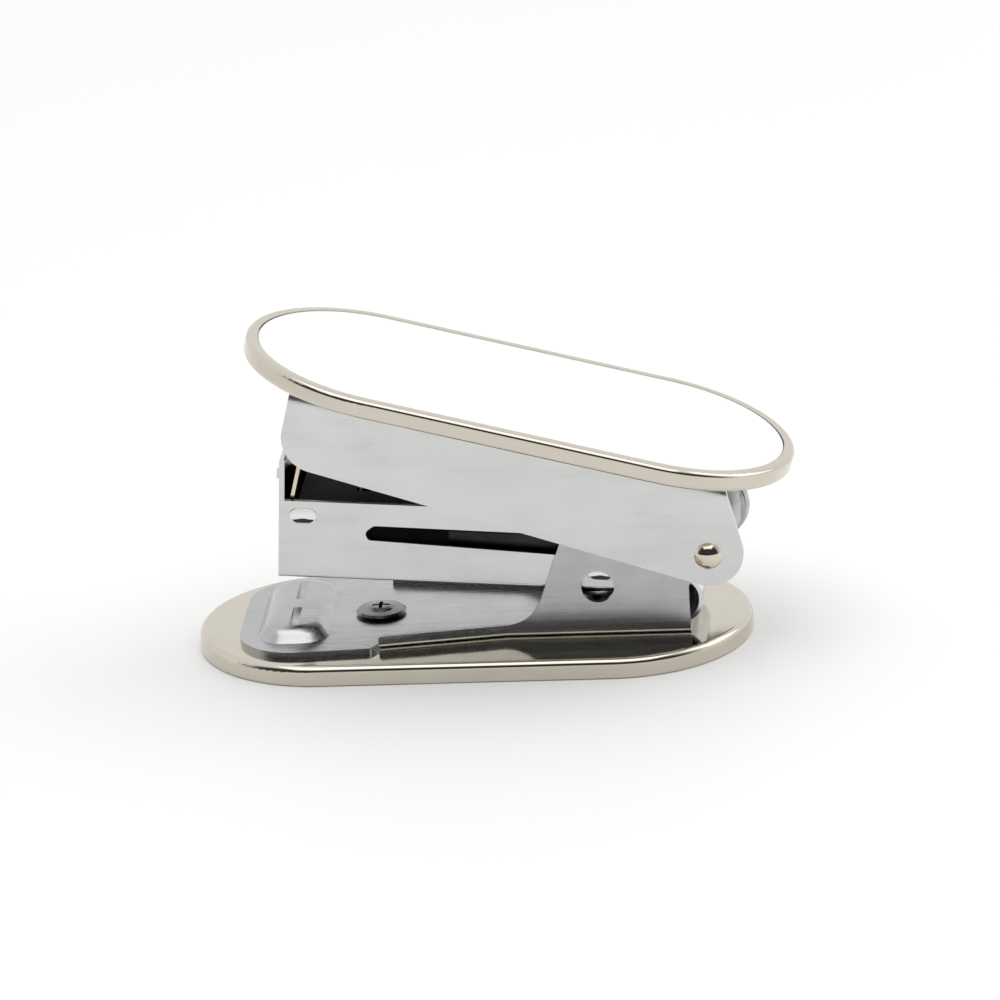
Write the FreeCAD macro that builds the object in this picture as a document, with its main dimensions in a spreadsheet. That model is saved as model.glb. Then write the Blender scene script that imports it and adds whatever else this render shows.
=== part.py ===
"""Pocket stapler: two oblong plates, a pressed anvil bracket, a magazine and a sprung handle.

Millimetres. The origin is the centre of the base plate's underside, +X points to the pivot end
and +Z points up. The magazine and the handle are drawn level with the pivot at their origin,
then turned about the pivot to their resting angles.
"""

import FreeCAD, Part

import math
import os

import Sketcher
from FreeCAD import Placement, Rotation, Vector

DOC = FreeCAD.newDocument("stapler")

SIZES = {
    # pivot and resting angles
    "pivot_x": 30.5,
    "pivot_z": 13.2,
    "magazine_tilt": 4.2,
    "handle_tilt": 15.08,
    # both oblong plates
    "plate_length": 70.4,
    "plate_width": 33.6,
    "base_thick": 2.6,
    "top_thick": 2.42,
    "plate_round": 0.8,
    "top_middle": -27.27,
    "rim": 1.4,
    "recess": 0.7,
    "film_thick": 0.1,
    "inlay_thick": 0.55,
    "inlay_gap": 0.1,
    "stud_radius": 1.5,
    # anvil bracket
    "bracket_sheet": 0.7,
    "bracket_half": 8.1,
    "bracket_front": -29.45,
    "bracket_rear": 27.8,
    "nose_half": 13.75,
    "neck_half": 12.4,
    "neck_x": -12.4,
    "jog_x": -11.4,
    "flange_low": 4.2,
    "flare_half": 10.8,
    "flare_end": 4.2,
    "flange_high": 4.5,
    "ear_foot": 8.0,
    "ear_front": 12.4,
    "ear_front_z": 16.4,
    "ear_top": 18.1,
    "ear_lobe": 3.9,
    "window_x": 16.37,
    "window_z": 9.05,
    "window_radius": 2.07,
    "pad_front": -27.1,
    "pad_rear": -17.8,
    "pad_half": 10.0,
    "pad_rise": 1.65,
    "pad_corner": 3.6,
    "pad_slope": 41.0,
    "groove_x": -22.4,
    "groove_half": 0.55,
    "groove_inner": 1.5,
    "groove_outer": 7.8,
    "groove_depth": 0.45,
    # screws
    "screw_x": -12.0,
    "rear_screw_x": 16.0,
    "screw_radius": 1.5,
    "screw_hole": 1.65,
    "head_radius": 3.2,
    "tapped_depth": 1.7,
    # pivot rivet
    "rivet_radius": 1.2,
    "rivet_clearance": 0.06,
    "rivet_head": 1.73,
    "rivet_head_rise": 0.8,
    # magazine
    "magazine_half": 7.2,
    "magazine_sheet": 0.7,
    "magazine_front": -54.1,
    "magazine_rear": 3.4,
    "magazine_low": -5.9,
    "magazine_high": 4.35,
    "magazine_heel": -3.4,
    "front_tab": 9.5,
    "floor_end": -8.0,
    "slot_front": -43.3,
    "slot_rear": -10.0,
    "slot_top": 1.45,
    "slot_low": -0.5,
    "exit_rear": -51.8,
    # staple rail
    "rail_half": 5.7,
    "rail_sheet": 0.7,
    "rail_rear": -6.0,
    "rail_high": 0.9,
    "rail_tab_half": 2.4,
    # rod, spring and pusher
    "rod_radius": 0.8,
    "rod_z": 2.6,
    "rod_front": -49.0,
    "rod_rear": -5.2,
    "clip_radius": 1.8,
    "clip_thick": 0.4,
    "pusher_front": -51.0,
    "pusher_rear": -32.8,
    "pusher_low": -4.6,
    "pusher_high": 4.15,
    "pusher_half": 6.35,
    "pusher_bore": 0.95,
    "pusher_well": 12.0,
    "well_radius": 1.95,
    "face_thick": 0.7,
    "coil_radius": 1.4,
    "coil_wire": 0.19,
    "coil_pitch": 1.6,
    # handle
    "handle_half": 9.3,
    "handle_sheet": 0.8,
    "handle_bend": 2.7,
    "handle_front": -55.35,
    "web_top": 10.53,
    "web_rear": -0.62,
    "handle_lobe": 4.3,
    # driver
    "driver_sheet": 0.45,
    "driver_half": 6.2,
    "driver_front": -52.65,
    "driver_tip": -8.39,
    "strap_rear": -34.0,
    "driver_rivet": 0.8,
    "driver_rivet_head": 1.5,
    "driver_rivet_a": -46.0,
    "driver_rivet_b": -38.0,
    # springs
    "lift_thick": 0.5,
    "lift_half": 6.3,
    "lift_rear": 29.4,
    "torsion_radius": 2.2,
    "torsion_wire": 0.35,
    "torsion_half": 2.0,
}

TABLE = DOC.addObject("Spreadsheet::Sheet", "dims")
for row, (alias, amount) in enumerate(SIZES.items(), start=1):
    TABLE.set(f"A{row}", alias)
    TABLE.set(f"B{row}", str(amount))
    TABLE.setAlias(f"B{row}", alias)
DOC.recompute()


class Size:
    """A length that remembers the table cells it is worked out from."""

    def __init__(self, value, text):
        self.value = float(value)
        self.text = text

    def _with(self, other, sign, value):
        return Size(value, f"({self.text} {sign} {as_size(other).text})")

    def __add__(self, other):
        return self._with(other, "+", self.value + as_size(other).value)

    def __sub__(self, other):
        return self._with(other, "-", self.value - as_size(other).value)

    def __mul__(self, other):
        return self._with(other, "*", self.value * as_size(other).value)

    def __truediv__(self, other):
        return self._with(other, "/", self.value / as_size(other).value)

    def __neg__(self):
        return Size(-self.value, f"(0 - {self.text})")

    def __radd__(self, other):
        return as_size(other) + self

    def __rsub__(self, other):
        return as_size(other) - self

    def __rmul__(self, other):
        return as_size(other) * self


def as_size(value):
    return value if isinstance(value, Size) else Size(value, f"{float(value):.6f}")


class Cells:
    """Gives each cell of the table by its alias."""

    def __getattr__(self, alias):
        return Size(SIZES[alias], f"dims.{alias}")


D = Cells()


def turned(tilt):
    """The placement of parts drawn about the pivot and tilted front end up."""
    return Placement(
        Vector(SIZES["pivot_x"], 0, SIZES["pivot_z"]), Rotation(Vector(0, 1, 0), tilt)
    )


LEVEL = Placement()
MAGAZINE = turned(SIZES["magazine_tilt"])
HANDLE = turned(SIZES["handle_tilt"])
NODES = []


def new_body(name, placement=LEVEL):
    body = DOC.addObject("PartDesign::Body", name)
    body.Label = name
    body.Placement = placement
    NODES.append((name, body))
    return body


def new_sketch(body, plane, offset=0.0):
    """A sketch on one of the body's origin planes, moved along that plane's normal."""
    sketch = body.newObject("Sketcher::SketchObject", body.Name + "_sketch")
    face = [f for f in body.Origin.OriginFeatures if f.Role == plane + "_Plane"][0]
    sketch.AttachmentSupport = [(face, "")]
    sketch.MapMode = "FlatFace"
    shift = as_size(offset)
    sketch.AttachmentOffset = Placement(Vector(0, 0, shift.value), Rotation())
    if isinstance(offset, Size):
        sketch.setExpression("AttachmentOffset.Base.z", shift.text)
    return sketch


def pin(sketch, geometry, point, x, y):
    """Fixes one sketch point at table-driven distances from the sketch origin."""
    for kind, amount in (("DistanceX", as_size(x)), ("DistanceY", as_size(y))):
        number = sketch.addConstraint(
            Sketcher.Constraint(kind, -1, 1, geometry, point, amount.value)
        )
        sketch.setExpression(f"Constraints[{number}]", amount.text)


def polygon(sketch, *corners):
    flat = [Vector(as_size(x).value, as_size(y).value, 0) for x, y in corners]
    first = sketch.GeometryCount
    count = len(corners)
    for i in range(count):
        sketch.addGeometry(Part.LineSegment(flat[i], flat[(i + 1) % count]), False)
    for i in range(count):
        sketch.addConstraint(
            Sketcher.Constraint("Coincident", first + i, 2, first + (i + 1) % count, 1)
        )
        pin(sketch, first + i, 1, *corners[i])
    return sketch


def box(sketch, x0, y0, x1, y1):
    return polygon(sketch, (x0, y0), (x1, y0), (x1, y1), (x0, y1))


def circle(sketch, x, y, radius):
    centre = Vector(as_size(x).value, as_size(y).value, 0)
    radius = as_size(radius)
    number = sketch.addGeometry(Part.Circle(centre, Vector(0, 0, 1), radius.value), False)
    pin(sketch, number, 3, x, y)
    rule = sketch.addConstraint(Sketcher.Constraint("Radius", number, radius.value))
    sketch.setExpression(f"Constraints[{rule}]", radius.text)
    return sketch


def rounded_box(sketch, x0, y0, x1, y1, radius):
    """An upright rectangle with four equal round corners."""
    radius = as_size(radius)
    x0, y0, x1, y1 = (as_size(value) for value in (x0, y0, x1, y1))
    quarter = math.pi / 2
    centres = (
        (x1 - radius, y1 - radius),
        (x0 + radius, y1 - radius),
        (x0 + radius, y0 + radius),
        (x1 - radius, y0 + radius),
    )
    arcs = []
    for turn, (x, y) in enumerate(centres):
        ring = Part.Circle(Vector(x.value, y.value, 0), Vector(0, 0, 1), radius.value)
        arc = Part.ArcOfCircle(ring, turn * quarter, (turn + 1) * quarter)
        arcs.append(sketch.addGeometry(arc, False))
        pin(sketch, arcs[-1], 3, x, y)
    for turn in range(4):
        one, two = arcs[turn], arcs[(turn + 1) % 4]
        side = Part.LineSegment(
            sketch.Geometry[one].EndPoint, sketch.Geometry[two].StartPoint
        )
        side = sketch.addGeometry(side, False)
        sketch.addConstraint(Sketcher.Constraint("Tangent", one, 2, side, 1))
        sketch.addConstraint(Sketcher.Constraint("Tangent", side, 2, two, 1))
    for arc in arcs[1:]:
        sketch.addConstraint(Sketcher.Constraint("Equal", arcs[0], arc))
    return sketch


def oblong(sketch, x0, y0, x1, y1, radius):
    """A round-ended slot between two end centres that lie level or upright of each other."""
    a = Vector(as_size(x0).value, as_size(y0).value, 0)
    b = Vector(as_size(x1).value, as_size(y1).value, 0)
    radius = as_size(radius)
    r = radius.value
    along = (b - a).normalize()
    turn = math.atan2(along.y, along.x)
    side = Vector(-along.y, along.x, 0) * r
    quarter = math.pi / 2
    far = sketch.addGeometry(
        Part.ArcOfCircle(Part.Circle(b, Vector(0, 0, 1), r), turn - quarter, turn + quarter)
    )
    near = sketch.addGeometry(
        Part.ArcOfCircle(
            Part.Circle(a, Vector(0, 0, 1), r), turn + quarter, turn + 3 * quarter
        )
    )
    left = sketch.addGeometry(Part.LineSegment(b + side, a + side), False)
    right = sketch.addGeometry(Part.LineSegment(a - side, b - side), False)
    for one, one_end, two, two_end in (
        (far, 2, left, 1),
        (left, 2, near, 1),
        (near, 2, right, 1),
        (right, 2, far, 1),
    ):
        sketch.addConstraint(Sketcher.Constraint("Tangent", one, one_end, two, two_end))
    pin(sketch, near, 3, x0, y0)
    pin(sketch, far, 3, x1, y1)
    sketch.addConstraint(Sketcher.Constraint("Equal", far, near))
    rule = sketch.addConstraint(Sketcher.Constraint("Radius", far, r))
    sketch.setExpression(f"Constraints[{rule}]", radius.text)
    return sketch


def pad(body, sketch, length, both=False, back=False):
    """Adds material along the sketch normal, or half to each side of the sketch."""
    length = as_size(length)
    feature = body.newObject("PartDesign::Pad", body.Name + "_pad")
    feature.Profile = sketch
    feature.Length = length.value
    feature.setExpression("Length", length.text)
    feature.Midplane = both
    feature.Reversed = back
    sketch.Visibility = False
    DOC.recompute()
    return feature


def pocket(body, sketch, length, both=False, back=False):
    """Removes material against the sketch normal, or half to each side of the sketch."""
    before = body.Shape.Volume
    length = as_size(length)
    feature = body.newObject("PartDesign::Pocket", body.Name + "_pocket")
    feature.Profile = sketch
    feature.Length = length.value
    feature.setExpression("Length", length.text)
    feature.Midplane = both
    feature.Reversed = back
    sketch.Visibility = False
    DOC.recompute()
    if body.Shape.Volume > before - 1e-4:
        raise RuntimeError(f"{feature.Name} removed nothing")
    return feature


def revolve(body, sketch, axis="V_Axis"):
    feature = body.newObject("PartDesign::Revolution", body.Name + "_turned")
    feature.Profile = sketch
    feature.ReferenceAxis = (sketch, [axis])
    feature.Angle = 360.0
    sketch.Visibility = False
    DOC.recompute()
    return feature


def edges_where(body, wanted):
    """Names of the body's edges whose two ends both satisfy the test."""
    shape = body.Tip.Shape
    names = []
    for number, edge in enumerate(shape.Edges, start=1):
        ends = [v.Point for v in edge.Vertexes]
        if ends and all(wanted(p) for p in ends) and wanted(edge.CenterOfMass):
            names.append(f"Edge{number}")
    return names


def round_edges(body, radius, wanted):
    names = edges_where(body, wanted)
    if not names:
        raise RuntimeError(f"no edge to round on {body.Name}")
    radius = as_size(radius)
    sharp = body.Tip
    feature = body.newObject("PartDesign::Fillet", body.Name + "_round")
    feature.Base = (sharp, names)
    feature.Radius = radius.value
    feature.setExpression("Radius", radius.text)
    DOC.recompute()
    if feature.Shape.isNull() or not feature.Shape.isValid():
        raise RuntimeError(f"{feature.Name} could not round {names}")
    return feature


def at(**near):
    """A test that a point has these coordinates; several values may be given for one."""

    def test(point):
        for axis, values in near.items():
            values = values if isinstance(values, (tuple, list)) else (values,)
            here = getattr(point, axis)
            if not any(abs(here - as_size(v).value) < 0.02 for v in values):
                return False
        return True

    return test


# ---------------------------------------------------------------- base plate
half_straight = D.plate_length / 2 - D.plate_width / 2
plate_radius = D.plate_width / 2

base = new_body("base_plate")
sketch = oblong(new_sketch(base, "XY"), -half_straight, 0, half_straight, 0, plate_radius)
pad(base, sketch, D.base_thick)
round_edges(base, D.plate_round, at(z=D.base_thick))
round_edges(base, 0.3, at(z=0))
for x in (D.screw_x, D.rear_screw_x):
    sketch = circle(new_sketch(base, "XY", D.base_thick), x, 0, D.screw_radius)
    pocket(base, sketch, D.tapped_depth)

# ------------------------------------------------------------- anvil bracket
floor_top = D.base_thick + D.bracket_sheet
inner_half = D.bracket_half - D.bracket_sheet

bracket = new_body("anvil_bracket")
sketch = polygon(
    new_sketch(bracket, "XY", D.base_thick),
    (D.bracket_front, -D.nose_half),
    (D.neck_x, -D.neck_half),
    (D.jog_x, -D.flare_half),
    (D.flare_end, -D.bracket_half),
    (D.bracket_rear, -D.bracket_half),
    (D.bracket_rear, D.bracket_half),
    (D.flare_end, D.bracket_half),
    (D.jog_x, D.flare_half),
    (D.neck_x, D.neck_half),
    (D.bracket_front, D.nose_half),
)
pad(bracket, sketch, D.bracket_sheet)
round_edges(bracket, 7.5, at(x=D.bracket_front, y=(D.nose_half, -D.nose_half)))
round_edges(bracket, 0.9, at(x=D.neck_x, y=(D.neck_half, -D.neck_half)))

# the two ears, cut from one profile
lobe_rear = D.pivot_x + D.ear_lobe
lobe_low = D.pivot_z - D.ear_lobe
sketch = polygon(
    new_sketch(bracket, "XZ"),
    (D.flare_end, D.base_thick),
    (D.flare_end, D.flange_low),
    (D.ear_foot, D.flange_high),
    (D.ear_front, D.ear_front_z),
    (D.ear_front + 1.6, D.ear_top),
    (lobe_rear, D.pivot_z + D.ear_lobe),
    (lobe_rear, lobe_low),
    (D.bracket_rear, lobe_low),
    (D.bracket_rear, D.base_thick),
)
pad(bracket, sketch, D.bracket_half * 2, both=True)
sketch = box(
    new_sketch(bracket, "XZ"), D.jog_x - 1, floor_top, lobe_rear + 1, D.ear_top + 1
)
pocket(bracket, sketch, inner_half * 2, both=True)
# low flanges that spread towards the jaw
for side in (-1, 1):
    sketch = polygon(
        new_sketch(bracket, "XY", D.base_thick),
        (D.jog_x, side * D.flare_half),
        (D.flare_end + 0.4, side * D.bracket_half),
        (D.flare_end + 0.4, side * inner_half),
        (D.jog_x, side * (D.flare_half - D.bracket_sheet)),
    )
    pad(bracket, sketch, D.flange_low - D.base_thick)
round_edges(
    bracket,
    0.45,
    lambda p: abs(p.z - SIZES["flange_low"]) < 0.02
    and abs(p.y) > SIZES["bracket_half"] - 0.02
    and p.x < SIZES["flare_end"] + 0.02,
)
for radius, x, z in (
    (5.2, D.ear_foot, D.flange_high),
    (3.0, D.ear_front, D.ear_front_z),
    (3.7, lobe_rear, D.pivot_z + D.ear_lobe),
    (3.7, lobe_rear, lobe_low),
    (0.6, D.bracket_rear, lobe_low),
):
    round_edges(bracket, radius, at(x=x, z=z))
round_edges(
    bracket,
    0.65,
    lambda p: abs(p.y) > SIZES["bracket_half"] - 0.02
    and abs(p.z - SIZES["base_thick"]) < 0.02
    and p.x > SIZES["jog_x"] - 0.1,
)

# raised anvil pillow, hollow beneath, with one clinching groove for each staple leg
sketch = rounded_box(
    new_sketch(bracket, "XY", floor_top),
    D.pad_front,
    -D.pad_half,
    D.pad_rear,
    D.pad_half,
    D.pad_corner,
)
pillow = pad(bracket, sketch, D.pad_rise)
pillow.TaperAngle = -SIZES["pad_slope"]
pillow.setExpression("TaperAngle", "0 - dims.pad_slope")
DOC.recompute()
pad_top = floor_top + D.pad_rise
round_edges(bracket, 2.0, at(z=pad_top))
sketch = rounded_box(
    new_sketch(bracket, "XY", D.base_thick),
    D.pad_front + 0.3,
    0.3 - D.pad_half,
    D.pad_rear - 0.3,
    D.pad_half - 0.3,
    D.pad_corner - 0.3,
)
hollow = pocket(bracket, sketch, D.pad_rise, back=True)
hollow.TaperAngle = -SIZES["pad_slope"]
hollow.setExpression("TaperAngle", "0 - dims.pad_slope")
DOC.recompute()
# a round cutter leaves each groove deepest at its middle
groove_mid = (D.groove_inner + D.groove_outer) / 2
groove_reach = (D.groove_outer - D.groove_inner) / 2
cutter = (groove_reach * groove_reach + D.groove_depth * D.groove_depth) / (
    D.groove_depth * 2
)
for side in (-1, 1):
    sketch = new_sketch(bracket, "YZ", D.groove_x)
    circle(sketch, groove_mid * side, pad_top - D.groove_depth + cutter, cutter)
    pocket(bracket, sketch, D.groove_half * 2, both=True)

for x in (D.screw_x, D.rear_screw_x):
    sketch = circle(new_sketch(bracket, "XY", floor_top), x, 0, D.screw_hole)
    pocket(bracket, sketch, D.bracket_sheet)
sketch = circle(new_sketch(bracket, "XZ"), D.window_x, D.window_z, D.window_radius)
pocket(bracket, sketch, D.bracket_half * 2 + 2, both=True)
sketch = circle(new_sketch(bracket, "XZ"), D.pivot_x, D.pivot_z, D.rivet_radius)
pocket(bracket, sketch, D.bracket_half * 2 + 2, both=True)

# -------------------------------------------------------------------- screws
for name, x, seat in (
    ("front_screw", D.screw_x, floor_top),
    ("rear_screw", D.rear_screw_x, floor_top + D.lift_thick),
):
    place = Placement(Vector(x.value, 0, seat.value), Rotation())
    screw = new_body(name, place)
    tip = D.base_thick - D.tapped_depth + 0.1 - seat  # just clear of the blind hole
    sketch = polygon(
        new_sketch(screw, "XZ"),
        (0, tip),
        (D.screw_radius - 0.4, tip),
        (D.screw_radius, tip + 0.4),
        (D.screw_radius, 0),
        (2.3, 0),
        (2.6, 0.22),
        (D.head_radius - 0.1, 0.32),
        (D.head_radius, 0.42),
        (D.head_radius - 0.3, 0.68),
        (1.72, 0.82),
        (1.6, 0.98),
        (1.2, 1.1),
        (0.6, 1.16),
        (0, 1.17),
    )
    revolve(screw, sketch)
    for wide, tall in ((2.3, 0.46), (0.46, 2.3)):
        sketch = box(new_sketch(screw, "XY", 1.3), -wide / 2, -tall / 2, wide / 2, tall / 2)
        pocket(screw, sketch, 0.8)

# --------------------------------------------------------------- pivot rivet
rivet = new_body("pivot_rivet", turned(0))
head_seat = D.handle_half + 0.04
head_end = head_seat + D.rivet_head_rise
sketch = new_sketch(rivet, "XY")
flat = 0.15
outline = (
    (D.rivet_head, -head_seat),
    (D.rivet_radius, -head_seat),
    (D.rivet_radius, head_seat),
    (D.rivet_head, head_seat),
    (flat, head_end),
    (0, head_end),
    (0, -head_end),
    (flat, -head_end),
)
spots = [Vector(as_size(x).value, as_size(y).value, 0) for x, y in outline]
runs = {
    i: sketch.addGeometry(Part.LineSegment(spots[i], spots[i + 1]), False)
    for i in (0, 1, 2, 4, 5, 6)
}
for i, run in runs.items():
    pin(sketch, run, 1, *outline[i])
    if i in (2, 6):
        pin(sketch, run, 2, *outline[i + 1])
    else:
        sketch.addConstraint(Sketcher.Constraint("Coincident", run, 2, runs[i + 1], 1))
# the crown of each head is a cap of a ball whose centre is on the axis
rim, rise = D.rivet_head.value, D.rivet_head_rise.value
sunk = (rim * rim - flat * flat - rise * rise) / (2 * rise)
ball_radius = math.hypot(rim, sunk)
low, high = math.atan2(sunk, rim), math.atan2(sunk + rise, flat)
for side, start, stop, at_start, at_stop in (
    (1, low, high, (runs[2], 2), (runs[4], 1)),
    (-1, -high, -low, (runs[6], 2), (runs[0], 1)),
):
    middle = Vector(0, side * (head_seat.value - sunk), 0)
    ball = Part.Circle(middle, Vector(0, 0, 1), ball_radius)
    arc = sketch.addGeometry(Part.ArcOfCircle(ball, start, stop), False)
    sketch.addConstraint(Sketcher.Constraint("Coincident", arc, 1, *at_start))
    sketch.addConstraint(Sketcher.Constraint("Coincident", arc, 2, *at_stop))
    sketch.addConstraint(Sketcher.Constraint("PointOnObject", arc, 3, -2))
revolve(rivet, sketch)

# --------------------------------------------------------------- lift spring
lift = new_body("lift_spring")
t = D.lift_thick
sketch = polygon(
    new_sketch(lift, "XZ"),
    (11.5, floor_top),
    (D.lift_rear, floor_top),
    (D.lift_rear, 9.6),
    (26.1, 9.6),
    (22.9, 7.75),
    (14.0, 7.8),
    (11.2, 8.6),
    (11.0, 8.15),
    (14.0, 7.8 - t),
    (23.05, 7.75 - t),
    (26.2, 9.6 - t),
    (D.lift_rear - t, 9.6 - t),
    (D.lift_rear - t, floor_top + t),
    (11.5, floor_top + t),
)
pad(lift, sketch, D.lift_half * 2, both=True)
round_edges(lift, 2.5, at(x=D.lift_rear - t, z=(9.6 - t, floor_top + t)))
round_edges(lift, 3.0, at(x=D.lift_rear, z=(9.6, floor_top)))
round_edges(lift, 2.0, at(x=(14.0, 22.9), z=(7.8, 7.75)))
round_edges(lift, 2.4, at(x=(14.0, 23.05), z=(7.8 - t, 7.75 - t)))
sketch = circle(new_sketch(lift, "XY", floor_top), D.rear_screw_x, 0, D.screw_hole)
pocket(lift, sketch, t, back=True)

# ---------------------------------------------------------- magazine channel
channel = new_body("magazine_channel", MAGAZINE)
wall_in = D.magazine_front + D.magazine_sheet
side_in = D.magazine_half - D.magazine_sheet
floor_in = D.magazine_low + D.magazine_sheet
sketch = polygon(
    new_sketch(channel, "XZ"),
    (D.magazine_front, D.magazine_low),
    (-7.2, D.magazine_low),
    (-2.0, D.magazine_heel),
    (D.magazine_rear, D.magazine_heel),
    (D.magazine_rear, D.magazine_high),
    (wall_in, D.magazine_high),
    (wall_in, D.front_tab),
    (D.magazine_front, D.front_tab),
)
pad(channel, sketch, D.magazine_half * 2, both=True)
sketch = box(
    new_sketch(channel, "XZ"), wall_in, floor_in, D.magazine_rear + 1, D.front_tab + 1
)
pocket(channel, sketch, side_in * 2, both=True)
for x0, x1 in ((wall_in, D.exit_rear), (D.floor_end, D.magazine_rear + 1)):
    sketch = box(new_sketch(channel, "XY", D.magazine_low - 1), x0, -side_in, x1, side_in)
    pocket(channel, sketch, D.magazine_sheet + 1, back=True)
round_edges(
    channel, 3.0, at(x=D.magazine_rear, z=(D.magazine_heel, D.magazine_high))
)
round_edges(
    channel,
    0.5,
    lambda p: abs(abs(p.y) - SIZES["magazine_half"]) < 0.02
    and abs(p.z - SIZES["magazine_low"]) < 0.02,
)
sketch = polygon(
    new_sketch(channel, "XZ"),
    (D.slot_front, 0.5),
    (D.slot_front + 1.15, D.slot_top),
    (D.slot_rear, D.slot_top - 0.25),
    (D.slot_rear, D.slot_low - 1.3),
    (D.slot_front + 0.5, D.slot_low),
)
pocket(channel, sketch, D.magazine_half * 2 + 2, both=True)
for radius, x, z in (
    (0.7, D.slot_front, 0.5),
    (0.9, D.slot_front + 1.15, D.slot_top),
    (0.5, D.slot_front + 0.5, D.slot_low),
    (0.9, D.slot_rear, D.slot_top - 0.25),
    (0.9, D.slot_rear, D.slot_low - 1.3),
):
    round_edges(channel, radius, at(x=x, z=z))
sketch = circle(
    new_sketch(channel, "XZ"), 0, 0, D.rivet_radius + D.rivet_clearance
)
pocket(channel, sketch, D.magazine_half * 2 + 2, both=True)
# small pressed ovals that hold the rail: one near the front, one near the ear's window
for x, z in ((-51.05, 2.41), (-13.5, -3.6)):
    for side in (-1, 1):
        sketch = new_sketch(channel, "XZ", side * (D.magazine_half - 0.3))
        oblong(sketch, x - 0.7, z, x + 0.7, z, 1.05)
        pocket(channel, sketch, 1.0, back=side > 0)
# stop nubs on the corners of the front tab
for side in (-1, 1):
    sketch = box(
        new_sketch(channel, "YZ", D.magazine_front - 0.3),
        side * (D.magazine_half - 1.1),
        D.front_tab - 2.2,
        side * D.magazine_half,
        D.front_tab - 1.1,
    )
    pad(channel, sketch, 0.4)

# --------------------------------------------------------------- staple rail
rail = new_body("staple_rail", MAGAZINE)
sketch = box(
    new_sketch(rail, "XZ"), D.exit_rear, floor_in, D.rail_rear, D.rail_high
)
pad(rail, sketch, D.rail_half * 2, both=True)
sketch = box(
    new_sketch(rail, "XZ"),
    D.exit_rear - 1,
    floor_in - 1,
    D.rail_rear + 1,
    D.rail_high - D.rail_sheet,
)
pocket(rail, sketch, (D.rail_half - D.rail_sheet) * 2, both=True)
round_edges(rail, 0.4, at(y=(D.rail_half, -D.rail_half), z=D.rail_high))
sketch = box(
    new_sketch(rail, "XZ"), D.rail_rear - D.rail_sheet, D.rail_high - 0.3, D.rail_rear, 4.6
)
pad(rail, sketch, D.rail_tab_half * 2, both=True)
sketch = circle(new_sketch(rail, "YZ", D.rail_rear + 1), 0, D.rod_z, D.rod_radius)
pocket(rail, sketch, D.rail_sheet + 2)

# ------------------------------------------------------------ rod and clip
rod = new_body("guide_rod", MAGAZINE)
sketch = circle(new_sketch(rod, "YZ", D.rod_front), 0, D.rod_z, D.rod_radius)
pad(rod, sketch, D.rod_rear - D.rod_front)
round_edges(rod, 0.35, at(x=(D.rod_front, D.rod_rear)))

clip = new_body("rod_clip", MAGAZINE)
sketch = new_sketch(clip, "YZ", D.rail_rear)
circle(sketch, 0, D.rod_z, D.clip_radius)
circle(sketch, 0, D.rod_z, D.rod_radius)
pad(clip, sketch, D.clip_thick)

# -------------------------------------------------------------------- pusher
saddle = D.rail_half + 0.12
saddle_top = D.rail_high + 0.1
pusher = new_body("pusher", MAGAZINE)
sketch = box(
    new_sketch(pusher, "XZ"), D.pusher_front, D.pusher_low, D.pusher_rear, D.pusher_high
)
pad(pusher, sketch, D.pusher_half * 2, both=True)
sketch = box(
    new_sketch(pusher, "XZ"), D.pusher_front - 1, D.pusher_low - 1, D.pusher_rear + 1, saddle_top
)
pocket(pusher, sketch, saddle * 2, both=True)
sketch = circle(new_sketch(pusher, "YZ", D.pusher_rear), 0, D.rod_z, D.pusher_bore)
pocket(pusher, sketch, D.pusher_rear - D.pusher_front + 1)
sketch = new_sketch(pusher, "YZ", D.pusher_rear)
box(sketch, -D.well_radius, saddle_top, D.well_radius, D.pusher_high)
pocket(pusher, sketch, D.pusher_well)
for side in (-1, 1):
    sketch = polygon(
        new_sketch(pusher, "XZ", side * (D.pusher_half - 0.25)),
        (D.pusher_rear - 4.3, D.pusher_high + 1),
        (D.pusher_rear - 4.9, D.pusher_low - 1),
        (D.pusher_rear + 1, D.pusher_low - 1),
        (D.pusher_rear + 1, D.pusher_high + 1),
    )
    pocket(pusher, sketch, 1.0, back=side > 0)

face = new_body("pusher_face", MAGAZINE)
sketch = new_sketch(face, "YZ", D.pusher_front - D.face_thick)
polygon(
    sketch,
    (-D.pusher_half, D.pusher_low),
    (-saddle, D.pusher_low),
    (-saddle, saddle_top),
    (saddle, saddle_top),
    (saddle, D.pusher_low),
    (D.pusher_half, D.pusher_low),
    (D.pusher_half, D.pusher_high),
    (-D.pusher_half, D.pusher_high),
)
pad(face, sketch, D.face_thick)
sketch = circle(new_sketch(face, "YZ", D.pusher_front), 0, D.rod_z, D.pusher_bore)
pocket(face, sketch, D.face_thick + 1)

# ------------------------------------------------------------- pusher spring
coil_start = D.pusher_rear - D.pusher_well + D.coil_wire + 0.05
coil_end = D.rail_rear - D.rail_sheet - D.coil_wire - 0.05
coil_place = MAGAZINE.multiply(Placement(Vector(0, 0, SIZES["rod_z"]), Rotation()))
coil = new_body("pusher_spring", coil_place)
sketch = circle(new_sketch(coil, "XZ"), coil_start, D.coil_radius, D.coil_wire)
helix = coil.newObject("PartDesign::AdditiveHelix", "pusher_spring_coil")
helix.Profile = sketch
helix.ReferenceAxis = (sketch, ["H_Axis"])
helix.Mode = 0
helix.Pitch = SIZES["coil_pitch"]
helix.setExpression("Pitch", "dims.coil_pitch")
helix.Height = (coil_end - coil_start).value
helix.setExpression("Height", (coil_end - coil_start).text)
sketch.Visibility = False
DOC.recompute()

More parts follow.
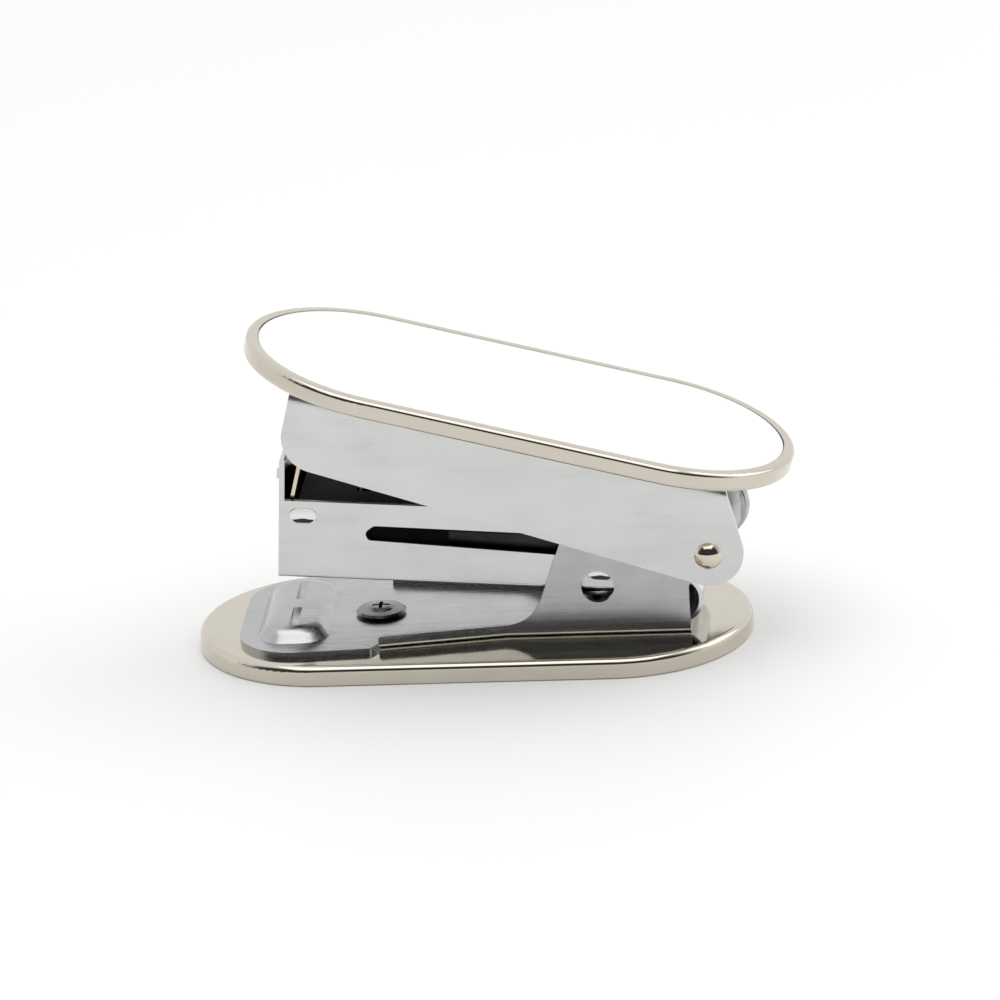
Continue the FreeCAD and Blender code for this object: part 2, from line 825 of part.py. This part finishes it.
# ------------------------------------------------------------ handle channel
handle = new_body("handle_channel", HANDLE)
web_low = D.web_top - D.handle_sheet
sketch = polygon(
    new_sketch(handle, "XZ"),
    (D.handle_front, D.web_top),
    (D.handle_front, -0.25),
    (7.6, -4.45),
    (D.web_rear, D.web_top),
)
pad(handle, sketch, D.handle_half * 2, both=True)
round_edges(handle, 4.6, at(x=D.handle_front, z=-0.25))
round_edges(handle, D.handle_lobe, at(x=7.6, z=-4.45))
round_edges(handle, D.handle_bend, at(y=(D.handle_half, -D.handle_half), z=D.web_top))
sketch = box(new_sketch(handle, "XZ"), D.handle_front - 1, -12.0, 12.0, web_low)
pocket(handle, sketch, (D.handle_half - D.handle_sheet) * 2, both=True)
wall = D.handle_half - D.handle_sheet
round_edges(handle, D.handle_bend - D.handle_sheet, at(y=(wall, -wall), z=web_low))
sketch = circle(new_sketch(handle, "XZ"), 0, 0, D.rivet_radius + D.rivet_clearance)
pocket(handle, sketch, D.handle_half * 2 + 2, both=True)
STUDS = (-24.0, -9.0)
for x, radius in (
    (D.driver_rivet_a, D.driver_rivet),
    (D.driver_rivet_b, D.driver_rivet),
    (STUDS[0], D.stud_radius),
    (STUDS[1], D.stud_radius),
):
    sketch = circle(new_sketch(handle, "XY", D.web_top + 1), x, 0, radius)
    pocket(handle, sketch, D.handle_sheet + 2)

# ----------------------------------------------------- top plate and its inlay
top = new_body("top_plate", HANDLE)
ends = (D.top_middle - half_straight, 0, D.top_middle + half_straight, 0)
plate_top = D.web_top + D.top_thick
recess_floor = plate_top - D.recess
sketch = oblong(new_sketch(top, "XY", D.web_top), *ends, plate_radius)
pad(top, sketch, D.top_thick)
round_edges(top, 0.6, at(z=(D.web_top, plate_top)))
sketch = oblong(new_sketch(top, "XY", plate_top), *ends, plate_radius - D.rim)
pocket(top, sketch, D.recess)
for start, radius, rise in (
    (D.web_top, D.stud_radius, D.handle_sheet),
    (web_low, D.stud_radius + 0.8, 0.45),
):
    sketch = new_sketch(top, "XY", start)
    for x in STUDS:
        circle(sketch, x, 0, radius)
    pad(top, sketch, rise, back=True)

film = new_body("inlay_film", HANDLE)
inlay_radius = plate_radius - D.rim - D.inlay_gap
sketch = oblong(new_sketch(film, "XY", recess_floor), *ends, inlay_radius)
pad(film, sketch, D.film_thick)

inlay = new_body("top_inlay", HANDLE)
sketch = oblong(new_sketch(inlay, "XY", recess_floor + D.film_thick), *ends, inlay_radius)
pad(inlay, sketch, D.inlay_thick)
round_edges(inlay, 0.2, at(z=recess_floor + D.film_thick + D.inlay_thick))

# -------------------------------------------------------------- driver blade
driver = new_body("driver_blade", HANDLE)
driver_back = D.driver_front + D.driver_sheet
strap_low = web_low - D.driver_sheet
sketch = polygon(
    new_sketch(driver, "XZ"),
    (D.driver_front, D.driver_tip),
    (driver_back, D.driver_tip),
    (driver_back, strap_low),
    (D.strap_rear, strap_low),
    (D.strap_rear, web_low),
    (D.driver_front, web_low),
)
pad(driver, sketch, D.driver_half * 2, both=True)
round_edges(driver, 1.0, at(x=D.driver_front, z=web_low))
round_edges(driver, 0.4, at(x=driver_back, z=strap_low))
for x in (D.driver_rivet_a, D.driver_rivet_b):
    sketch = circle(new_sketch(driver, "XY", web_low), x, 0, D.driver_rivet)
    pocket(driver, sketch, D.driver_sheet)

for name, x in (
    ("driver_rivet_front", D.driver_rivet_a),
    ("driver_rivet_rear", D.driver_rivet_b),
):
    spot = HANDLE.multiply(Placement(Vector(x.value, 0, strap_low.value), Rotation()))
    pin_body = new_body(name, spot)
    sketch = polygon(
        new_sketch(pin_body, "XZ"),
        (0, -0.45),
        (D.driver_rivet_head - 0.3, -0.45),
        (D.driver_rivet_head, -0.15),
        (D.driver_rivet_head, 0),
        (D.driver_rivet, 0),
        (D.driver_rivet, D.driver_sheet + D.handle_sheet),
        (0, D.driver_sheet + D.handle_sheet),
    )
    revolve(pin_body, sketch)

# ------------------------------------------------------------- handle spring
# A torsion spring round the pivot: one leg lifts the handle's web, the other bears on the
# magazine floor inside the rail.
wire = SIZES["torsion_wire"]
mean = SIZES["torsion_radius"]
half = SIZES["torsion_half"]
LEAN = SIZES["handle_tilt"] - SIZES["magazine_tilt"]
# each leg is a hair thinner than the coil and starts inside it, so the two join cleanly
LEG_SHARE, LEG_SUNK = 0.92, 0.12


def tangent(point, side):
    """Where a straight wire from this point meets the coil, in the upright plane."""
    reach = math.hypot(*point)
    angle = math.atan2(point[1], point[0]) + side * math.acos(mean / reach)
    return angle, (mean * math.cos(angle), mean * math.sin(angle))


def wire_leg(name, start, end, y):
    leg = DOC.addObject("Part::Cylinder", name)
    a, b = Vector(start[0], y, start[1]), Vector(end[0], y, end[1])
    along = (b - a) / (b - a).Length
    leg.Radius = wire * LEG_SHARE
    leg.setExpression("Radius", f"dims.torsion_wire * {LEG_SHARE}")
    leg.Height = (b - a).Length + LEG_SUNK
    leg.Placement = Placement(a - along * LEG_SUNK, Rotation(Vector(0, 0, 1), along))
    return leg


lean = math.radians(LEAN)
lifted = (-14.0, web_low.value - wire - 0.02)
upper = (
    lifted[0] * math.cos(lean) + lifted[1] * math.sin(lean),
    -lifted[0] * math.sin(lean) + lifted[1] * math.cos(lean),
)
lower = (-14.6, floor_in.value + wire + 0.02)
start_angle, start_point = tangent(upper, -1)
end_angle, end_point = tangent(lower, 1)
turns = 4 + ((start_angle - end_angle) / (2 * math.pi)) % 1

spiral = DOC.addObject("Part::Helix", "handle_spring_path")
spiral.Radius = mean
spiral.setExpression("Radius", "dims.torsion_radius")
spiral.Height = 2 * half
spiral.setExpression("Height", "dims.torsion_half * 2")
spiral.Pitch = 2 * half / turns
spiral.SegmentLength = 0.5  # half a turn to a face, so that the mesh closes
ring = DOC.addObject("Part::Circle", "handle_spring_wire")
ring.Radius = wire
ring.setExpression("Radius", "dims.torsion_wire")
ring.Placement = Placement(Vector(mean, 0, 0), Rotation(Vector(1, 0, 0), 90))
coil_sweep = DOC.addObject("Part::Sweep", "handle_spring_coil")
coil_sweep.Sections = [ring]
coil_sweep.Spine = (spiral, [])
coil_sweep.Solid = True
coil_sweep.Frenet = True
DOC.recompute()
outward = Vector(math.cos(start_angle), 0, math.sin(start_angle))
axis = Vector(0, 1, 0)
frame = Rotation(outward, axis.cross(outward), axis, "XYZ")
coil_sweep.Placement = Placement(Vector(0, -half, 0), frame)
legs = [
    wire_leg("handle_spring_upper_leg", start_point, upper, -half),
    wire_leg("handle_spring_lower_leg", end_point, lower, half),
]
torsion = DOC.addObject("Part::MultiFuse", "handle_spring")
torsion.Label = "handle_spring"
torsion.Shapes = [coil_sweep, *legs]
torsion.Placement = MAGAZINE
NODES.append(("handle_spring", torsion))

# ---------------------------------------------------------- check and export
DOC.recompute()
for item in DOC.Objects:
    if "Invalid" in item.State or "Error" in item.State:
        raise RuntimeError(f"{item.Name} is {item.State}")
os.makedirs("parts", exist_ok=True)
for name, item in NODES:
    shape = item.Shape
    if shape.isNull() or not shape.isValid() or shape.Volume <= 0:
        raise RuntimeError(f"{name} has no valid solid")
    shape.exportStep(f"parts/{name}.step")
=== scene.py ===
import math

import bpy
from mathutils import Matrix, Vector


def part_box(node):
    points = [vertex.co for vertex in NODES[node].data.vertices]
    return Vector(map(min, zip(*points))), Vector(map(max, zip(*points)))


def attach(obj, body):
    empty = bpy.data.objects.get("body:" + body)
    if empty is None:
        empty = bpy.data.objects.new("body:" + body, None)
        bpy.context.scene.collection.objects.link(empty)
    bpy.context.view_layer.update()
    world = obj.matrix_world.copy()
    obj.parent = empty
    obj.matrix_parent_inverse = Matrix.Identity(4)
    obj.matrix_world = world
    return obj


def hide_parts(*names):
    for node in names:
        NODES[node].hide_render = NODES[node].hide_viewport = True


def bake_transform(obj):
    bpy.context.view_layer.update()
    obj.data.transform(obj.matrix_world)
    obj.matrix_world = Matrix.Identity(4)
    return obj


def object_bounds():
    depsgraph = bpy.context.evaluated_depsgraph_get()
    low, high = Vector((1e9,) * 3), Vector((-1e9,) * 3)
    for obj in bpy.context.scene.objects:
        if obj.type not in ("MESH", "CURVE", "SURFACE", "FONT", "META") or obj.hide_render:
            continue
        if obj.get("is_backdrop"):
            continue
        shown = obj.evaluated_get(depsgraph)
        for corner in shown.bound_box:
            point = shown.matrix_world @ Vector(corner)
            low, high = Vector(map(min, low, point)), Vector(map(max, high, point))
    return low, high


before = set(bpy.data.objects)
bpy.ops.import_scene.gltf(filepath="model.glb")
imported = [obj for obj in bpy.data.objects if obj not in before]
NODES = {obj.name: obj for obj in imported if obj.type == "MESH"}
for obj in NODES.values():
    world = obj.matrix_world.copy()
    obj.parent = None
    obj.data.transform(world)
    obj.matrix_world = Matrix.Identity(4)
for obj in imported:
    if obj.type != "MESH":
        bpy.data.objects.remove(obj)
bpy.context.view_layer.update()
SCENE = bpy.context.scene
MM = 0.001

# Driving sizes in mm and degrees: the rivet that everything turns on, and the magazine about it.
PIVOT_X, PIVOT_Z = 30.5, 13.2
MAGAZINE_TILT = 4.2
MAGAZINE_HALF = 7.2


# ------------------------------------------------------------------ node helpers
class Surface:
    """A material under construction, with short calls for the nodes it needs."""

    def __init__(self, name, colour, metallic=0.0, roughness=0.5, **sockets):
        self.material = bpy.data.materials.new(name)
        self.material.use_nodes = True
        self.tree = self.material.node_tree
        self.shader = self.tree.nodes["Principled BSDF"]
        self.shader.inputs["Base Color"].default_value = (*colour, 1)
        self.shader.inputs["Metallic"].default_value = metallic
        self.shader.inputs["Roughness"].default_value = roughness
        for socket, value in sockets.items():
            self.shader.inputs[socket.replace("_", " ")].default_value = value
        self.place = self.tree.nodes.new("ShaderNodeTexCoord").outputs["Object"]

    def node(self, kind, **inputs):
        made = self.tree.nodes.new("ShaderNode" + kind)
        for name, value in inputs.items():
            socket = made.inputs[name.replace("_", " ")]
            if isinstance(value, bpy.types.NodeSocket):
                self.tree.links.new(value, socket)
            else:
                socket.default_value = value
        return made

    def link(self, output, socket):
        self.tree.links.new(output, self.shader.inputs[socket])

    def stretched(self, x, y, z, turn=(0, 0, 0)):
        made = self.node("Mapping", Vector=self.place, Scale=(x, y, z), Rotation=turn)
        return made.outputs["Vector"]

    def noise(self, vector, scale, detail=3.0, roughness=0.55):
        made = self.node(
            "TexNoise", Vector=vector, Scale=scale, Detail=detail, Roughness=roughness
        )
        return made.outputs["Fac"]

    def spread(self, value, low, high, from_low=0.3, from_high=0.7):
        made = self.node("MapRange", Value=value)
        made.inputs["From Min"].default_value = from_low
        made.inputs["From Max"].default_value = from_high
        made.inputs["To Min"].default_value = low
        made.inputs["To Max"].default_value = high
        return made.outputs["Result"]

    def blend(self, factor, a, b):
        made = self.tree.nodes.new("ShaderNodeMix")
        made.data_type = "RGBA"
        if isinstance(factor, bpy.types.NodeSocket):
            self.tree.links.new(factor, made.inputs[0])
        else:
            made.inputs[0].default_value = factor
        for socket, value in ((made.inputs[6], a), (made.inputs[7], b)):
            if isinstance(value, bpy.types.NodeSocket):
                self.tree.links.new(value, socket)
            else:
                socket.default_value = (*value, 1)
        return made.outputs[2]

    def maths(self, operation, one, two=0.0):
        made = self.tree.nodes.new("ShaderNodeMath")
        made.operation = operation
        for socket, value in zip(made.inputs, (one, two)):
            if isinstance(value, bpy.types.NodeSocket):
                self.tree.links.new(value, socket)
            else:
                socket.default_value = value
        return made.outputs[0]

    def bump(self, height, strength, distance, under=None):
        made = self.node("Bump", Height=height, Strength=strength, Distance=distance)
        if under is not None:
            self.tree.links.new(under, made.inputs["Normal"])
        return made.outputs["Normal"]


def plated(name, colour, tint, roughness, wave=0.02, scratches=0.02):
    """Bright plating: faint waviness, a cloudy tone and hairline handling marks."""
    s = Surface(name, colour, metallic=1.0, roughness=roughness)
    cloud = s.noise(s.place, 130.0)
    s.link(s.blend(s.spread(cloud, 0, 1), colour, tint), "Base Color")
    marks = s.noise(s.stretched(90, 1400, 500, (0.1, 0.2, 0.35)), 1.0, 2.0)
    rough = s.spread(marks, roughness * 0.8, roughness * 1.5)
    s.link(rough, "Roughness")
    low = s.bump(s.noise(s.place, 90.0, 1.0), wave, 0.0004)
    s.link(s.bump(marks, scratches, 0.00001, low), "Normal")
    return s


def polished(*finish):
    return plated(*finish).material


def paint_shade_inside(s, half, low, high, front, rear):
    """Paints shade: colours near black the faces inside a box in the magazine's own tilted axes,
    in mm from the pivot, where the inside of the magazine lies in shadow.
    """
    shifted = s.node("Mapping", Vector=s.place, Location=(-PIVOT_X * MM, 0, -PIVOT_Z * MM))
    level = (0, -math.radians(MAGAZINE_TILT), 0)
    own = s.node("Mapping", Vector=shifted.outputs["Vector"], Rotation=level)
    axes = s.node("SeparateXYZ", Vector=own.outputs["Vector"]).outputs
    inside = s.maths("LESS_THAN", s.maths("ABSOLUTE", axes["Y"]), half * MM)
    for test, axis, limit in (
        ("GREATER_THAN", "Z", low),
        ("LESS_THAN", "Z", high),
        ("GREATER_THAN", "X", front),
        ("LESS_THAN", "X", rear),
    ):
        inside = s.maths("MULTIPLY", inside, s.maths(test, axes[axis], limit * MM))
    plain = s.shader.inputs["Base Color"].links[0].from_socket
    # painted shade: the shadowed inside of the magazine gets a near-black colour
    s.link(s.blend(inside, plain, (0.03, 0.03, 0.031)), "Base Color")


def brushed(name, colour, tint, roughness, along=(40, 1500, 1500), grain=0.25):
    """Satin plated steel: fine grain along the sheet and blotches in the plating."""
    s = Surface(name, colour, metallic=1.0, roughness=roughness)
    blotch = s.noise(s.place, 260.0, 4.0)
    s.link(s.blend(s.spread(blotch, 0, 1), colour, tint), "Base Color")
    lines = s.noise(s.stretched(*along), 1.0, 4.0, 0.65)
    s.link(s.spread(lines, roughness * 0.8, roughness * 1.25), "Roughness")
    speck = s.noise(s.place, 2600.0, 2.0)
    low = s.bump(lines, grain, 0.00002)
    s.link(s.bump(speck, grain * 0.6, 0.00001, low), "Normal")
    return s.material


def moulded(name, colour, tint, roughness, scale=1800.0, depth=0.15, **sockets):
    """Plastic or coating with a fine even texture."""
    s = Surface(name, colour, roughness=roughness, **sockets)
    fine = s.noise(s.place, scale, 3.0)
    s.link(s.blend(s.spread(fine, 0, 1), colour, tint), "Base Color")
    patches = s.noise(s.place, scale / 8)
    s.link(s.spread(patches, roughness * 0.9, roughness * 1.1), "Roughness")
    s.link(s.bump(fine, depth, 0.00002), "Normal")
    return s.material


nickel = polished("warm_nickel", (0.63, 0.59, 0.51), (0.60, 0.555, 0.475), 0.10)
SHEET = (0.66, 0.66, 0.652), (0.62, 0.62, 0.615), 0.20
magazine_walls = plated("magazine_sheet", *SHEET)
# painted shade on the inside faces of the magazine walls
paint_shade_inside(magazine_walls, half=6.56, low=-5.5, high=20, front=-53.6, rear=-9)
handle_sheet = polished("handle_sheet", *SHEET)
rivet_metal = polished("rivet_nickel", (0.72, 0.66, 0.55), (0.66, 0.60, 0.49), 0.05)
brass = polished("driver_brass", (0.72, 0.65, 0.50), (0.66, 0.58, 0.42), 0.16)
spring = polished("spring_wire", (0.72, 0.73, 0.75), (0.62, 0.63, 0.66), 0.14)
satin = brushed("satin_zinc", (0.49, 0.495, 0.50), (0.43, 0.435, 0.44), 0.25, grain=0.12)
# painted shade: the staple rail deep in the magazine is coloured near-black steel to stand for
# the shadow it lies in
painted_shade_steel = brushed("painted_shade_steel", (0.035, 0.035, 0.037), (0.022, 0.022, 0.024), 0.30)
dark_steel = brushed("dark_zinc", (0.24, 0.245, 0.238), (0.17, 0.175, 0.168), 0.20)
BLACKS = (0.004, 0.004, 0.004), (0.007, 0.007, 0.007)
black = moulded("black_plastic", *BLACKS, 0.5, Specular_IOR_Level=0.03)
white = moulded("white_coating", (0.93, 0.93, 0.93), (0.91, 0.91, 0.915), 0.33, 900.0, 0.04)
film = moulded("adhesive_film", (0.80, 0.78, 0.70), (0.76, 0.74, 0.66), 0.6)

FINISH = {
    "base_plate": nickel,
    "top_plate": nickel,
    "top_inlay": white,
    "inlay_film": film,
    "anvil_bracket": satin,
    "front_screw": dark_steel,
    "rear_screw": dark_steel,
    "pivot_rivet": rivet_metal,
    "driver_rivet_front": rivet_metal,
    "driver_rivet_rear": rivet_metal,
    "lift_spring": spring,
    "pusher_spring": spring,
    "handle_spring": spring,
    "guide_rod": spring,
    "rod_clip": spring,
    "magazine_channel": magazine_walls.material,
    "handle_channel": handle_sheet,
    "staple_rail": painted_shade_steel,
    "pusher_face": black,
    "pusher": black,
    "driver_blade": brass,
}
for name, material in FINISH.items():
    mesh = NODES[name].data
    mesh.materials.clear()
    mesh.materials.append(material)

# ------------------------------------------------------ pressed ovals in the magazine
TILT = Matrix.Rotation(math.radians(MAGAZINE_TILT), 4, "Y")
PIVOT = Matrix.Translation(Vector((PIVOT_X, 0, PIVOT_Z)) * MM)
OVAL_REACH, OVAL_STRAIGHT = 1.03, 0.7
OVAL_DEPTH, OVAL_BACK = 0.265, 0.29
OVAL_RINGS = 9
mirror = polished("pressed_oval", (0.80, 0.80, 0.79), (0.74, 0.74, 0.735), 0.05, 0.25)


def stadium(reach, straight, steps=64):
    """The outline of an oval with round ends, anticlockwise."""
    spots = []
    for step in range(steps):
        angle = 2 * math.pi * (step + 0.5) / steps
        shift = math.copysign(straight, math.cos(angle))
        spots.append((shift + reach * math.cos(angle), reach * math.sin(angle)))
    return spots


def pressed_oval(name, x, z, side):
    """A shallow polished dish that fills one of the flat-bottomed ovals in the wall."""
    outline = stadium(OVAL_REACH, OVAL_STRAIGHT)
    count = len(outline)
    points = []
    for ring in range(OVAL_RINGS, 0, -1):
        share = ring / OVAL_RINGS
        deep = OVAL_DEPTH * (1 - share**2.4)
        points += [(x + u * share, MAGAZINE_HALF - deep, z + v * share) for u, v in outline]
    points.append((x, MAGAZINE_HALF - OVAL_DEPTH, z))
    points += [(x + u, MAGAZINE_HALF - OVAL_BACK, z + v) for u, v in outline]
    centre = OVAL_RINGS * count
    faces = []
    for ring in range(OVAL_RINGS - 1):
        for i in range(count):
            j = (i + 1) % count
            a, b = ring * count, (ring + 1) * count
            faces.append((a + j, a + i, b + i, b + j))
    last = (OVAL_RINGS - 1) * count
    for i in range(count):
        j = (i + 1) % count
        faces.append((last + j, last + i, centre))
        faces.append((i, j, centre + 1 + j, centre + 1 + i))
    faces.append(tuple(centre + 1 + i for i in range(count)))
    if side < 0:
        points = [(a, -b, c) for a, b, c in points]
        faces = [face[::-1] for face in faces]
    mesh = bpy.data.meshes.new(name)
    mesh.from_pydata([Vector(point) * MM for point in points], [], faces)
    mesh.transform(PIVOT @ TILT)
    for face in mesh.polygons:
        face.use_smooth = len(face.vertices) < 5
    mesh.materials.append(mirror)
    piece = bpy.data.objects.new(name, mesh)
    SCENE.collection.objects.link(piece)
    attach(piece, "magazine")


for spot, x, z in (("front", -51.05, 2.41), ("rear", -13.5, -3.6)):
    for word, side in (("right", -1), ("left", 1)):
        pressed_oval(f"pressed_oval_{spot}_{word}", x, z, side)

# --------------------------------------------- the springs, copied fixed in place
def flexing(node, first, second, start, end):
    """A fixed copy of a spring, baked in place, with the part it copies hidden; the two bodies
    and the start and end it is given are not used.
    """
    source = NODES[node]
    mesh = source.data.copy()
    mesh.transform(source.matrix_world)
    piece = bpy.data.objects.new(node + "_flexing", mesh)
    SCENE.collection.objects.link(piece)
    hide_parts(node)
    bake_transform(piece)


low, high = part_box("pusher_spring")
flexing("pusher_spring", "pusher", "magazine", (low.x, 0, high.z), (high.x, 0, low.z))
low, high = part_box("lift_spring")
# its foot rests on the bracket and its arm sits under the magazine
flexing("lift_spring", "base", "magazine", (0, 0, low.z + 0.8 * MM), (0, 0, high.z - 1.2 * MM))
# its coils lie side by side along the rivet, between a lower and an upper leg
coil_ends = [(PIVOT_X * MM, y * MM, PIVOT_Z * MM) for y in (1.7, -1.7)]
flexing("handle_spring", "magazine", "handle", *coil_ends)

# ------------------------------------------------------------- floor, light, camera
floor_mesh = bpy.data.meshes.new("floor")
floor_mesh.from_pydata(
    [(-4, -4, 0), (4, -4, 0), (4, 4, 0), (-4, 4, 0)], [], [(0, 1, 2, 3)]
)
floor = bpy.data.objects.new("floor", floor_mesh)
SCENE.collection.objects.link(floor)
floor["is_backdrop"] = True
PALE, LESS_PALE = (0.97, 0.97, 0.97), (0.955, 0.955, 0.955)
ground = Surface("pale_floor", PALE, roughness=0.6)
patches = ground.spread(ground.noise(ground.place, 3.0), 0, 1)
ground.link(ground.blend(patches, PALE, LESS_PALE), "Base Color")
floor_mesh.materials.append(ground.material)

# A white room whose wall behind the camera is dark up to about fifty degrees.
world = bpy.data.worlds.new("studio")
world.use_nodes = True
room = world.node_tree
background = room.nodes["Background"]
background.inputs["Color"].default_value = (1, 1, 1, 1)


def ramp(value, from_low, from_high, to_low, to_high):
    made = room.nodes.new("ShaderNodeMapRange")
    made.interpolation_type = "SMOOTHSTEP"
    room.links.new(value, made.inputs["Value"])
    for name, amount in (
        ("From Min", from_low),
        ("From Max", from_high),
        ("To Min", to_low),
        ("To Max", to_high),
    ):
        made.inputs[name].default_value = amount
    return made.outputs["Result"]


def combine(operation, one, two):
    made = room.nodes.new("ShaderNodeMath")
    made.operation = operation
    for socket, value in zip(made.inputs, (one, two)):
        if isinstance(value, bpy.types.NodeSocket):
            room.links.new(value, socket)
        else:
            socket.default_value = value
    return made.outputs[0]


split = room.nodes.new("ShaderNodeSeparateXYZ")
room.links.new(room.nodes.new("ShaderNodeTexCoord").outputs["Generated"], split.inputs[0])
facing = ramp(split.outputs["Y"], -0.55, -0.1, 1.0, 0.0)
under = ramp(split.outputs["Z"], 0.62, 0.85, 1.0, 0.0)
shade = combine("MULTIPLY", combine("MULTIPLY", facing, under), 0.95)
room.links.new(
    combine("MULTIPLY", combine("SUBTRACT", 1.0, shade), 0.97), background.inputs["Strength"]
)
SCENE.world = world


def soft_light(name, place, aim, size, power):
    data = bpy.data.lights.new(name, "AREA")
    data.shape = "RECTANGLE"
    data.size, data.size_y = size
    data.energy = power
    light = bpy.data.objects.new(name, data)
    light.location = place
    light.rotation_euler = (Vector(aim) - Vector(place)).to_track_quat("-Z", "Y").to_euler()
    SCENE.collection.objects.link(light)


soft_light("key", (0.0, -0.3, 0.8), (0, 0, 0.02), (0.9, 0.9), 2.3)
soft_light("fill", (0.7, 0.2, 0.6), (0, 0, 0.02), (0.7, 0.7), 1.4)

# The camera's angles in degrees, and where it aims and how far away it stands, in mm.
TURN, RISE, ROLL = 5.496, 19.998, -3.56
AIM, DISTANCE = (3.996, 0, 18.084), 925.35
turn, rise, roll = math.radians(TURN), math.radians(RISE), math.radians(ROLL)
back = Vector(
    (math.sin(turn) * math.cos(rise), -math.cos(turn) * math.cos(rise), math.sin(rise))
)
level = Vector((math.cos(turn), math.sin(turn), 0))
upright = back.cross(level)
right = math.cos(roll) * level + math.sin(roll) * upright
up = -math.sin(roll) * level + math.cos(roll) * upright
camera_data = bpy.data.cameras.new("camera")
camera_data.sensor_width = 36
camera_data.lens = 264.06
camera_data.clip_start, camera_data.clip_end = 0.05, 20
camera = bpy.data.objects.new("camera", camera_data)
spot = Vector(AIM) * MM + back * DISTANCE * MM
camera.matrix_world = Matrix.Translation(spot) @ Matrix((right, up, back)).transposed().to_4x4()
SCENE.collection.objects.link(camera)
SCENE.camera = camera

SCENE.view_settings.view_transform = "Standard"
SCENE.view_settings.look = "None"

low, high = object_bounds()
